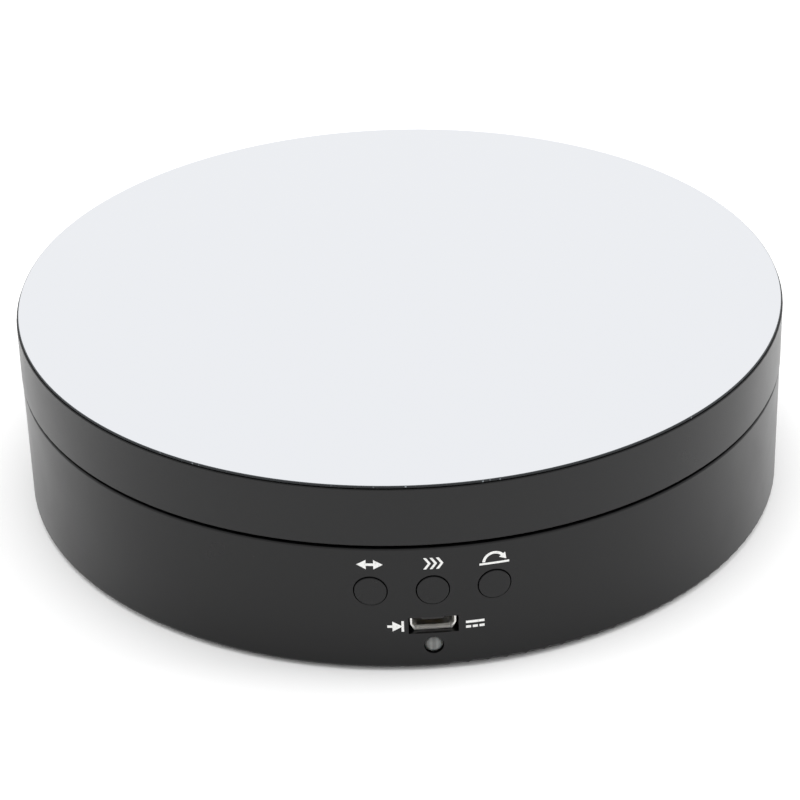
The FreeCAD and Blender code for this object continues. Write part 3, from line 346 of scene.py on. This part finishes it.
def foil_pouch():
    """Aluminium laminate pouch: bright satin foil with soft wrinkles pulled in by its sealed edges, painted a
    little darker towards the creases between them, as painted shade.
    """
    foil = srgb("#b9bcc2")
    material, tree, shader, place = start_material("aluminium_laminate", foil, {"Metallic": 1.0})
    wrinkles_and_crease_shade = add_node(tree, "ShaderNodeTexVoronoi", {"feature": "SMOOTH_F1"}, {"Scale": 1 / (7 * MM)},
                       {"Vector": place})
    rub = add_node(tree, "ShaderNodeTexNoise", None, {"Scale": 1 / (3 * MM), "Detail": 3.0},
                   {"Vector": place})
    add_node(tree, "ShaderNodeMapRange", None, {"To Min": 0.26, "To Max": 0.42},
             {"Value": rub.outputs["Fac"]}, ("Result", shader.inputs["Roughness"]))
    # painted shade: the foil is painted darker towards the creases between the wrinkles
    add_node(tree, "ShaderNodeMix", {"data_type": "RGBA"}, {6: foil, 7: solid(foil, 0.85)},
             {0: wrinkles_and_crease_shade.outputs["Distance"]}, (2, shader.inputs["Base Color"]))
    add_node(tree, "ShaderNodeBump", None, {"Strength": 0.35, "Distance": 0.4 * MM},
             {"Height": wrinkles_and_crease_shade.outputs["Distance"]}, ("Normal", shader.inputs["Normal"]))
    return material


def cellular_foam():
    """Foam tape: black and dull, with open pores about half a millimetre across on its cut sides, painted
    darker in their pits and paler on the rims between them, as painted shade.
    """
    black = srgb("#232323")
    material, tree, shader, place = start_material("cellular_foam_tape", black, {"Roughness": 0.9})
    cells_and_pit_shade = add_node(tree, "ShaderNodeTexVoronoi", None, {"Scale": 1 / (0.5 * MM)}, {"Vector": place})
    # painted shade: darker in the pits of the foam, paler on the rims between them
    add_node(tree, "ShaderNodeMix", {"data_type": "RGBA"}, {6: solid(black, 0.5), 7: solid(black, 1.6)},
             {0: cells_and_pit_shade.outputs["Distance"]}, (2, shader.inputs["Base Color"]))
    add_node(tree, "ShaderNodeBump", None, {"Strength": 0.8, "Distance": 0.15 * MM},
             {"Height": cells_and_pit_shade.outputs["Distance"]}, ("Normal", shader.inputs["Normal"]))
    return material


FINISHES = {}


def finish_named(name):
    """The material for one of the record's slots, made the first time that it is asked for."""
    if not FINISHES:
        colours = bpy.context.scene.stand_colours
        FINISHES.update({
            # ABS, spark-eroded mould: near black and even, silvery only where it is seen edge-on
            "black_moulding": moulded("satin_black_abs_base", colours.base_black, 0.3, specular=0.3),
            "black_moulding_satin": moulded("satin_black_abs_platter", colours.platter_black, 0.3,
                                            specular=0.32),
            # ABS from a smoother mould, so the caps are a touch glossier than the wall round them
            "button_plastic": moulded("black_abs_button", colours.base_black, 0.27, specular=0.3,
                                      grain=0.15),
            "foot_rubber": moulded("black_rubber", srgb("#191919"), 0.75, 1.45, grain_mm=0.5, grain=0.5),
            # acetal: waxy off-white with a soft low gloss
            "white_acetal": moulded("natural_acetal", srgb("#e4e1d6"), 0.42, 1.48, grain_mm=0.8, grain=0.1),
            "white_connector": moulded("natural_nylon", srgb("#ded8c4"), 0.5, 1.53, grain_mm=0.6, grain=0.15),
            "black_connector": moulded("black_nylon", srgb("#1c1c1c"), 0.45, 1.53, grain_mm=0.5, grain=0.15),
            "blue_plastic": moulded("blue_nylon", srgb("#1f4f9c"), 0.4, 1.53, grain_mm=0.6, grain=0.15),
            "switch_body": moulded("grey_nylon", srgb("#55565a"), 0.5, 1.53, grain_mm=0.5, grain=0.2),
            "switch_plunger": moulded("black_nylon_plunger", srgb("#242424"), 0.5, 1.53, grain_mm=0.5,
                                      grain=0.2),
            # filled epoxy: dark grey and dull, with the grit of its mould
            "chip_epoxy": moulded("moulded_epoxy", srgb("#1d1e20"), 0.6, 1.55, grain_mm=0.3, grain=0.3),
            "wire_insulation": moulded("red_pvc_insulation", srgb("#9c1f1b"), 0.38, 1.53, grain_mm=1.2,
                                       grain=0.08),
            "capacitor_sleeve": moulded("shrink_sleeve", srgb("#1b1f47"), 0.25, 1.53, grain_mm=2, grain=0.1,
                                        coat=0.3),
            "adhesive_sheet": moulded("acrylic_adhesive", srgb("#c8c4ae"), 0.35, 1.47, grain_mm=3, grain=0.1),
            # zinc plate: cool grey, a little cloudy
            "steel_screws": worked_metal("zinc_plated_steel", srgb("#aaa9a6"), 0.34),
            "black_screws": worked_metal("black_oxide_steel", srgb("#26262a"), 0.42),
            "zinc_plated_can": worked_metal("drawn_zinc_plated_steel", srgb("#b2b1ab"), 0.36, 0.25,
                                            (0.15, 0.15, 1)),
            # bearing steel: ground and polished to a mirror
            "polished_balls": worked_metal("polished_bearing_steel", srgb("#c6c6c8"), 0.08, 0.5, grain=0.01,
                                           stain=0.03),
            "brass": worked_metal("turned_brass", srgb("#c9a35a"), 0.3, 0.15, (0.2, 0.2, 1)),
            # sintered ferrite: dark, dull grey with a granular face
            "ferrite_magnet": worked_metal("sintered_ferrite", srgb("#3a3a3d"), 0.62, 0.3, grain=0.3),
            # nickel plate over folded steel: pale and satin, so that the lips catch light from everywhere
            "nickel_shell": worked_metal("nickel_plated_steel", srgb("#efeeea"), 0.42, 0.1, (1, 0.2, 1)),
            "mirror": silvered_glass(colours.mirror_tint),
            "lamp_lens": lamp_epoxy(),
            "copper_wire": wound_copper(),
            "circuit_board": solder_resist(),
            "cell_foil": foil_pouch(),
            "foam": cellular_foam(),
        })
    return FINISHES[name]


SLOT_OF = {part["node"]: part["material_slot"] for part in frame["record"]["subparts"]}


def finish_nodes(*names):
    """Give CAD nodes the finish of their slot."""
    for name in names:
        cad = frame["nodes"][name]
        for holder in cad.material_slots:
            holder.material = finish_named(SLOT_OF[name])


def nodes_with(*starts):
    """CAD nodes whose names start with one of these."""
    return sorted(name for name in frame["nodes"] if name.startswith(starts))


# ---------------------------------------------------------------- mesh helpers
def new_piece(name, bm, body, materials, smooth_angle=35.0):
    """Turn a bmesh into a piece that rides on a body, with outward normals and edges sharp past an angle."""
    bmesh.ops.remove_doubles(bm, verts=bm.verts, dist=SAME_POINT)
    bmesh.ops.recalc_face_normals(bm, faces=bm.faces)
    limit = math.radians(smooth_angle)
    for edge in bm.edges:
        edge.smooth = len(edge.link_faces) == 2 and edge.calc_face_angle(0.0) < limit
    for face in bm.faces:
        face.smooth = True
    mesh = bpy.data.meshes.new(name)
    bm.to_mesh(mesh)
    bm.free()
    for material in materials:
        mesh.materials.append(material)
    piece = bpy.data.objects.new(name, mesh)
    bpy.context.scene.collection.objects.link(piece)
    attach(piece, body)
    return piece


def spin_profile(bm, profile, steps):
    """Turn a (radius, height) profile a full turn about Z and close its poles."""
    verts = [bm.verts.new((r, 0, z)) for r, z in profile]
    edges = [bm.edges.new(pair) for pair in zip(verts, verts[1:])]
    bmesh.ops.spin(bm, geom=verts + edges, cent=(0, 0, 0), axis=(0, 0, 1), angle=2 * math.pi, steps=steps,
                   use_merge=True)
    bmesh.ops.remove_doubles(bm, verts=bm.verts, dist=SAME_POINT)


def rounded_corner(r_centre, z_centre, radius, start, end, steps=6):
    """(radius, height) points of a rounded corner, angles in degrees."""
    angles = [math.radians(start + (end - start) * i / steps) for i in range(steps + 1)]
    return [(r_centre + radius * math.cos(a), z_centre + radius * math.sin(a)) for a in angles]


# ---------------------------------------------------------------- pieces
class STAND_OT_shells(Operator):
    """Finish the platter tray, the base housing, the bottom cover, the feet and the cover's screws"""

    bl_idname = "stand.shells"
    bl_label = "Shells and feet"

    def execute(self, context):
        finish_nodes("platter_tray", "base_housing", "bottom_cover", "cover_screws", "mirror_adhesive")
        finish_nodes(*nodes_with("rubber_foot"))
        return {"FINISHED"}


class STAND_OT_mirror(Operator):
    """Make the mirror plate with its ground rim and sloped edges, in place of the plain disc"""

    bl_idname = "stand.mirror"
    bl_label = "Mirror"
    sides = 256
    margin = 0.4 * MM  # ring of faces inside the slope, which keeps the shading of the face flat up to it

    def execute(self, context):
        low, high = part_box("mirror_disc")
        arris = context.scene.stand_sizes.mirror_arris
        silver, ground, slope = range(3)  # material slots
        bm = bmesh.new()
        bmesh.ops.create_circle(bm, cap_ends=True, segments=self.sides, radius=high.x,
                                matrix=Matrix.Translation((0, 0, low.z)))
        grown = bmesh.ops.extrude_face_region(bm, geom=bm.faces[:])
        top = [v for v in grown["geom"] if isinstance(v, bmesh.types.BMVert)]
        bmesh.ops.translate(bm, verts=top, vec=(0, 0, high.z - low.z))
        bm.normal_update()
        for face in bm.faces:
            face.material_index = silver if abs(face.normal.z) > 0.5 else ground
        caps = [face for face in bm.faces if face.material_index == silver]
        for face in bmesh.ops.inset_region(bm, faces=caps, thickness=arris)["faces"]:
            face.material_index = slope
        rim = [v for v in bm.verts if v.co.xy.length > high.x - arris / 2]
        for vert in rim:
            vert.co.z += arris / 2 if vert.co.z < (low.z + high.z) / 2 else -arris / 2
        for cap in caps:
            bmesh.ops.inset_region(bm, faces=[cap], thickness=self.margin)
            bmesh.ops.poke(bm, faces=[cap])
        plate = new_piece("mirror_plate", bm, "platter",
                          [finish_named("mirror"), ground_edge(), polished_arris()], 12)
        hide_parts("mirror_disc")
        return {"FINISHED"}


class STAND_OT_buttons(Operator):
    """Make the three button caps with rounded faces that follow the wall, and finish the switches behind"""

    bl_idname = "stand.buttons"
    bl_label = "Buttons"
    sides = 64
    step_margin = 0.05 * MM  # points this close to a step of the CAD cap belong to the step

    def execute(self, context):
        edge = context.scene.stand_sizes.button_edge
        face_radius = -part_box("button_speed")[0].y  # the faces lie on a cylinder about the turning axis
        for function in FUNCTIONS:
            centre, cap, flange, stem, front, flange_front, flange_back, back = self.shape(function)
            bm = bmesh.new()
            # turned about Z for now, with the middle of the face at the origin; the rings of points on the
            # face let it bend with the wall
            profile = [(0, 0), (cap * 0.35, 0), (cap * 0.7, 0)]
            profile += rounded_corner(cap - edge, -edge, edge, 90, 0)
            profile += [(cap, front - flange_front), (flange - edge / 2, front - flange_front)]
            profile += [(flange, front - flange_front - edge / 2), (flange, front - flange_back)]
            profile += [(stem, front - flange_back), (stem, front - back), (0, front - back)]
            spin_profile(bm, profile, self.sides)
            bmesh.ops.rotate(bm, verts=bm.verts, cent=(0, 0, 0),
                             matrix=Matrix.Rotation(math.radians(90), 3, "X"))
            bmesh.ops.translate(bm, verts=bm.verts, vec=(centre.x, front, centre.z))
            for vert in bm.verts:
                if vert.co.y < front + edge * 1.01:  # the face and its rounding
                    vert.co.y -= front + math.sqrt(face_radius ** 2 - vert.co.x ** 2)
            piece = new_piece("button_cap_" + function, bm, "button_" + function,
                              [finish_named("button_plastic")])
            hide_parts("button_" + function)
        finish_nodes(*nodes_with("switch_"))
        return {"FINISHED"}

    def shape(self, function):
        """Centre, radii of cap, flange and stem, and the places along Y of its steps, from the CAD node."""
        low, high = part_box("button_" + function)
        centre = (low + high) / 2
        points = [(math.hypot(v.co.x - centre.x, v.co.z - centre.z), v.co.y)
                  for v in frame["nodes"]["button_" + function].data.vertices]
        flange = max(r for r, y in points)
        on_flange = [y for r, y in points if r > flange - self.step_margin]
        flange_front, flange_back = min(on_flange), max(on_flange)
        cap = max(r for r, y in points if y < flange_front - self.step_margin)
        stem = max(r for r, y in points if y > flange_back + self.step_margin)
        return centre, cap, flange, stem, low.y, flange_front, flange_back, high.y


class STAND_OT_marks(Operator):
    """Print the generic marks: turn, speed and angle over the buttons, and power beside the socket"""

    bl_idname = "stand.marks"
    bl_label = "Printed marks"
    longest_straight = 0.45 * MM  # longer edges are cut, so that a mark bends with the wall

    def execute(self, context):
        sizes = context.scene.stand_sizes
        stroke = sizes.stroke
        ink = printed_ink(context.scene.stand_colours.print_white)
        centres = {function: self.middle("button_" + function) for function in FUNCTIONS}
        above = centres["speed"].z + 5.45 * MM  # the row of marks over the buttons
        socket = self.middle("charging_socket_shell")

        # a two-headed arrow
        turn = bmesh.new()
        bar(turn, (0, 0), 1.3 * MM, stroke, 0)
        for side, heading in ((1, 0), (-1, 180)):
            head(turn, (side * 1.2 * MM, 0), 1.1 * MM, heading)
        self.wrap("mark_turn", turn, centres["direction"].x, above, sizes, ink)

        # three chevrons
        speed = bmesh.new()
        for i in range(3):
            chevron(speed, ((i - 1) * 1.1 * MM, 0), 1.15 * MM, stroke)
        self.wrap("mark_speed", speed, centres["speed"].x, above, sizes, ink)

        # an arrow that swings in an arc over a level line
        angle = bmesh.new()
        radius, arc_centre, tip = 1.9 * MM, -0.95 * MM, math.radians(31)
        bow(angle, (0, arc_centre), radius, stroke, 42, 175)
        head(angle, (radius * math.cos(tip), arc_centre + radius * math.sin(tip)), 0.8 * MM, -52)
        bar(angle, (0, -1.15 * MM), 5.3 * MM, stroke * 0.8, 0)
        self.wrap("mark_angle", angle, centres["angle"].x, above, sizes, ink)

        # an arrow onto an upright bar
        power = bmesh.new()
        bar(power, (-0.95 * MM, 0), 0.9 * MM, stroke, 0)
        head(power, (0.1 * MM, 0), 1.2 * MM, 0)
        bar(power, (1.3 * MM, 0), 2.2 * MM, stroke * 0.9, 90)
        self.wrap("mark_power_in", power, socket.x - 6.7 * MM, socket.z, sizes, ink)

        # the sign for direct current: a line over three dashes
        supply = bmesh.new()
        bar(supply, (0, 0.5 * MM), 3.3 * MM, stroke, 0)
        for i in range(3):
            bar(supply, ((i - 1) * 1.2 * MM, -0.5 * MM), 0.9 * MM, stroke, 0)
        self.wrap("mark_direct_current", supply, socket.x + 7.3 * MM, socket.z - 0.4 * MM, sizes, ink)
        return {"FINISHED"}

    def middle(self, name):
        """Middle of a CAD node's box."""
        low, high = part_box(name)
        return (low + high) / 2

    def wrap(self, name, bm, x, z, sizes, ink):
        """Lay a flat mark, drawn in X and Y, on the curved wall."""
        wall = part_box("base_housing")[1].x + sizes.ink_thickness / 2
        long_edges = [e for e in bm.edges if e.calc_length() > self.longest_straight]
        bmesh.ops.subdivide_edges(bm, edges=long_edges, cuts=3, use_grid_fill=True)
        start = math.asin(x / wall)
        for vert in bm.verts:
            turn = start + vert.co.x / wall
            vert.co = Vector((wall * math.sin(turn), -wall * math.cos(turn), z + vert.co.y))
        bmesh.ops.recalc_face_normals(bm, faces=bm.faces)
        for face in bm.faces:
            if face.normal.y > 0:
                face.normal_flip()
        grown = bmesh.ops.extrude_face_region(bm, geom=bm.faces[:])
        lifted = [v for v in grown["geom"] if isinstance(v, bmesh.types.BMVert)]
        factor = 1 + sizes.ink_thickness / wall
        bmesh.ops.scale(bm, verts=lifted, vec=(factor, factor, 1))
        new_piece(name, bm, "base", [ink], 30)


def bar(bm, centre, length, width, turn):
    """Flat bar in the XY plane. turn is in degrees."""
    place = Matrix.Translation((*centre, 0)) @ Matrix.Rotation(math.radians(turn), 4, "Z")
    bmesh.ops.create_grid(bm, x_segments=4, y_segments=1, size=0.5,
                          matrix=place @ Matrix.Diagonal((length, width, 1, 1)))


def head(bm, centre, size, turn):
    """Flat arrow head that points along turn, in degrees. size is from its centre to a corner."""
    place = Matrix.Translation((*centre, 0)) @ Matrix.Rotation(math.radians(turn), 4, "Z")
    bmesh.ops.create_circle(bm, cap_ends=True, segments=3, radius=size,
                            matrix=place @ Matrix.Rotation(math.radians(-90), 4, "Z"))


def chevron(bm, centre, size, width):
    """Two flat bars that meet in a point on the right. size is half of its height."""
    place = Matrix.Translation((*centre, 0))
    made = bmesh.ops.create_grid(bm, x_segments=1, y_segments=2, size=0.5,
                                 matrix=place @ Matrix.Diagonal((width, size * 2, 1, 1)))
    for vert in made["verts"]:
        in_middle = abs(vert.co.y - centre[1]) < size * 0.2
        vert.co.x += size * 0.5 if in_middle else -size * 0.2


def bow(bm, centre, radius, width, start, end):
    """Flat ring sector, angles in degrees."""
    first = math.radians(start)
    spokes = [bm.verts.new((centre[0] + r * math.cos(first), centre[1] + r * math.sin(first), 0))
              for r in (radius - width / 2, radius + width / 2)]
    edge = bm.edges.new(spokes)
    bmesh.ops.spin(bm, geom=spokes + [edge], cent=(*centre, 0), axis=(0, 0, 1),
                   angle=math.radians(end - start), steps=18, use_merge=False)


class STAND_OT_socket_and_lamp(Operator):
    """Finish the charging socket and the lamp, and add the socket's contact fingers"""

    bl_idname = "stand.socket_and_lamp"
    bl_label = "Socket and lamp"
    pitch = 0.65 * MM  # from one contact finger to the next
    finger = (0.32 * MM, 3.0 * MM, 0.1 * MM)
    finger_depth = 1.9 * MM  # from the tongue's tip to the middle of a finger
    finger_drop = 0.03 * MM  # from the tongue's underside to the middle of a finger
    finger_edge = 0.03 * MM

    def execute(self, context):
        finish_nodes("charging_socket_shell", "charging_socket_tongue", "charge_lamp", "charge_lamp_legs")
        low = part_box("charging_socket_tongue")[0]
        points = [v.co for v in frame["nodes"]["charging_socket_tongue"].data.vertices]
        underside = min(point.z for point in points if point.y < low.y + 0.1 * MM)  # at the tongue's tip
        count = context.scene.stand_sizes.contacts
        bm = bmesh.new()
        for i in range(count):
            place = Matrix.Translation(((i - (count - 1) / 2) * self.pitch, low.y + self.finger_depth,
                                        underside - self.finger_drop))
            made = bmesh.ops.create_cube(bm, size=1.0, matrix=place @ Matrix.Diagonal((*self.finger, 1)))
            edges = list({e for v in made["verts"] for e in v.link_edges})
            bmesh.ops.bevel(bm, geom=edges, offset=self.finger_edge, segments=2, profile=0.5,
                            affect="EDGES", material=-1)
        new_piece("socket_contacts", bm, "base", [finish_named("brass")])
        return {"FINISHED"}


class STAND_OT_bearing(Operator):
    """Finish the ball thrust bearing and the drive hub"""

    bl_idname = "stand.bearing"
    bl_label = "Bearing and hub"

    def execute(self, context):
        finish_nodes("bearing_balls", "bearing_cage", "drive_hub", "hub_screws")
        return {"FINISHED"}


class STAND_OT_motor(Operator):
    """Finish the geared motor, inside and out"""

    bl_idname = "stand.motor"
    bl_label = "Geared motor"

    def execute(self, context):
        finish_nodes(*nodes_with("motor_case", "motor_cover", "motor_screws", "motor_stator", "motor_coils",
                                 "motor_gear_p", "motor_rotor", "rotor_pin", "reduction_gear", "output_gear",
                                 "motor_lead_cap", "motor_leads"))
        return {"FINISHED"}


class STAND_OT_electronics(Operator):
    """Finish the control board, what it carries, and the battery"""

    bl_idname = "stand.electronics"
    bl_label = "Board and battery"

    def execute(self, context):
        finish_nodes(*nodes_with("control_board", "board_screws", "motor_driver_chip", "controller_chip",
                                 "charger_chip", "storage_capacitor", "motor_lead_header", "motor_lead_plug",
                                 "battery_"))
        return {"FINISHED"}


# ---------------------------------------------------------------- stage
class STAND_OT_stage(Operator):
    """Make the pale floor, the soft studio light and the camera"""

    bl_idname = "stand.stage"
    bl_label = "Floor, light and camera"

    def execute(self, context):
        stage = context.scene.stand_stage
        self.floor()
        self.light(context.scene, stage)
        self.camera(context.scene, stage)
        return {"FINISHED"}

    def floor(self):
        """Large pale sheet, flat and even."""
        below_feet = Matrix.Translation((0, 0, -0.05 * MM))
        bm = bmesh.new()
        bmesh.ops.create_grid(bm, x_segments=2, y_segments=2, size=6.0, matrix=below_feet)
        mesh = bpy.data.meshes.new("studio_floor")
        bm.to_mesh(mesh)
        bm.free()
        sheet = start_material("pale_studio_sheet", srgb("#fbfbfb"),
                               {"Roughness": 0.9, "Specular IOR Level": 0.1})[0]
        mesh.materials.append(sheet)
        floor = bpy.data.objects.new("studio_floor", mesh)
        bpy.context.scene.collection.objects.link(floor)

    def light(self, scene, stage):
        """Even white surround, a large soft box overhead, and one at each side that also lifts the floor."""
        world = bpy.data.worlds.new("studio_surround")
        world.use_nodes = True
        background = world.node_tree.nodes["Background"]
        background.inputs["Color"].default_value = srgb("#ffffff")
        background.inputs["Strength"].default_value = stage.sky
        scene.world = world
        for name, size, power, place in (("soft_box_overhead", 1.2, stage.key, Vector((-0.2, 0.1, 1.5))),
                                         ("soft_box_right", 0.8, stage.fill, Vector((1.1, 0.1, 0.6))),
                                         ("soft_box_left", 0.8, stage.rim, Vector((-1.1, 0.2, 0.5)))):
            box = bpy.data.lights.new(name, "AREA")
            box.size = size
            box.energy = power
            lamp = bpy.data.objects.new(name, box)
            lamp.location = place
            lamp.rotation_euler = (-place).to_track_quat("-Z", "Y").to_euler()
            lamp.visible_glossy = False  # so that the mirror shows only the even surround
            scene.collection.objects.link(lamp)
        scene.view_settings.view_transform = "Standard"

    def camera(self, scene, stage):
        """Camera in front of the stand and well above it, looking down at the mirror."""
        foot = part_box("base_housing")[0].z
        place = Vector((0, -stage.distance * math.cos(stage.elevation),
                        stage.distance * math.sin(stage.elevation) + foot))
        ahead = Vector((math.sin(stage.yaw) * math.cos(stage.pitch),
                        math.cos(stage.yaw) * math.cos(stage.pitch), -math.sin(stage.pitch)))
        level_right = ahead.cross(Vector((0, 0, 1))).normalized()
        level_up = level_right.cross(ahead)
        right = level_right * math.cos(stage.roll) + level_up * math.sin(stage.roll)
        up = level_up * math.cos(stage.roll) - level_right * math.sin(stage.roll)
        turn = Matrix.Rotation(stage.azimuth, 4, "Z")
        axes = Matrix((right, up, -ahead)).transposed().to_4x4()
        data = bpy.data.cameras.new("stand_camera")
        data.lens = stage.lens
        data.sensor_width = 36.0
        data.clip_start = 0.01
        camera = bpy.data.objects.new("stand_camera", data)
        camera.matrix_world = turn @ Matrix.Translation(place) @ axes
        scene.collection.objects.link(camera)
        scene.camera = camera


class STAND_PT_panel(Panel):
    """Lists the stand's sizes, colours and pieces"""

    bl_idname = "STAND_PT_panel"
    bl_label = "Turntable Display Stand"
    bl_space_type = "VIEW_3D"
    bl_region_type = "UI"
    bl_category = "Stand"

    def draw(self, context):
        for group in (context.scene.stand_sizes, context.scene.stand_colours, context.scene.stand_stage):
            box = self.layout.box()
            for name in group.__annotations__:
                box.prop(group, name)
        for operator in OPERATORS:
            self.layout.operator(operator.bl_idname)


OPERATORS = (STAND_OT_shells, STAND_OT_mirror, STAND_OT_buttons, STAND_OT_marks, STAND_OT_socket_and_lamp,
             STAND_OT_bearing, STAND_OT_motor, STAND_OT_electronics, STAND_OT_stage)
CLASSES = (StandSizes, StandColours, StandStage) + OPERATORS + (STAND_PT_panel,)


def register():
    for cls in CLASSES:
        bpy.utils.register_class(cls)
    bpy.types.Scene.stand_sizes = PointerProperty(type=StandSizes)
    bpy.types.Scene.stand_colours = PointerProperty(type=StandColours)
    bpy.types.Scene.stand_stage = PointerProperty(type=StandStage)


def unregister():
    del bpy.types.Scene.stand_stage
    del bpy.types.Scene.stand_colours
    del bpy.types.Scene.stand_sizes
    for cls in reversed(CLASSES):
        bpy.utils.unregister_class(cls)


def main():
    register()
    for operator in OPERATORS:
        group, name = operator.bl_idname.split(".")
        getattr(getattr(bpy.ops, group), name)()


if __name__ == "__main__":
    main()
